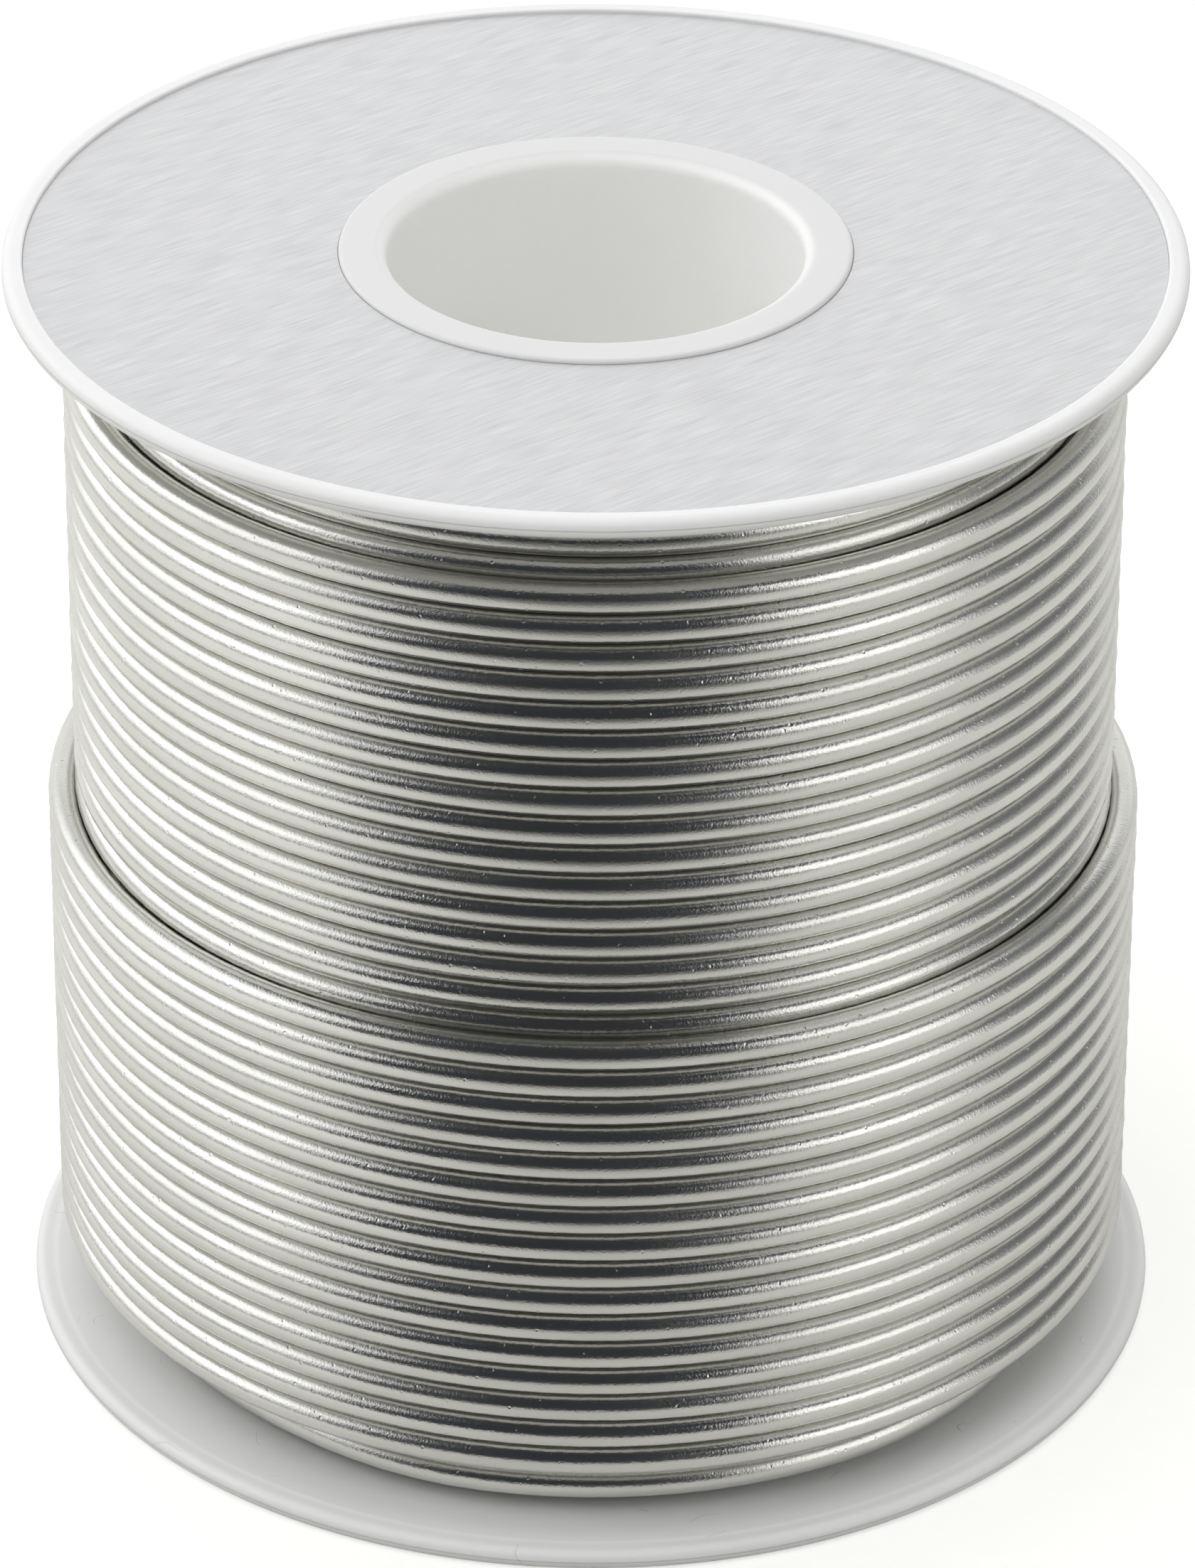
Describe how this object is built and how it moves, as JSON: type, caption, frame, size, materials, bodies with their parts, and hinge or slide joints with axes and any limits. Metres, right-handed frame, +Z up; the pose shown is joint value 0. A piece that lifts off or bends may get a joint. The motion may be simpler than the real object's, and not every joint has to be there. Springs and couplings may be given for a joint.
{
  "type": "solder wire spool",
  "caption": "Round plastic spool with two thin flanges, a through bore, a blank foil label and close-wound solder wire whose outer layer is partly used.",
  "frame": {"origin": "centre of the lower flange's outer face, on the surface that the spool stands on", "axes": "+Z up along the bore, -Y towards the front, +X to the right"},
  "size_m": [0.0562, 0.0562, 0.0567],
  "materials": {
    "white_plastic": "moulded, slightly glossy",
    "label_foil": "brushed foil, bare",
    "solder_wire": "drawn tin alloy, satin"
  },
  "bodies": {
    "root": {"spool_lower_half": "white_plastic", "spool_upper_half": "white_plastic", "face_label": "label_foil", "wire_inner_layers": "solder_wire", "wire_winding": "solder_wire"}
  },
  "joints": []
}
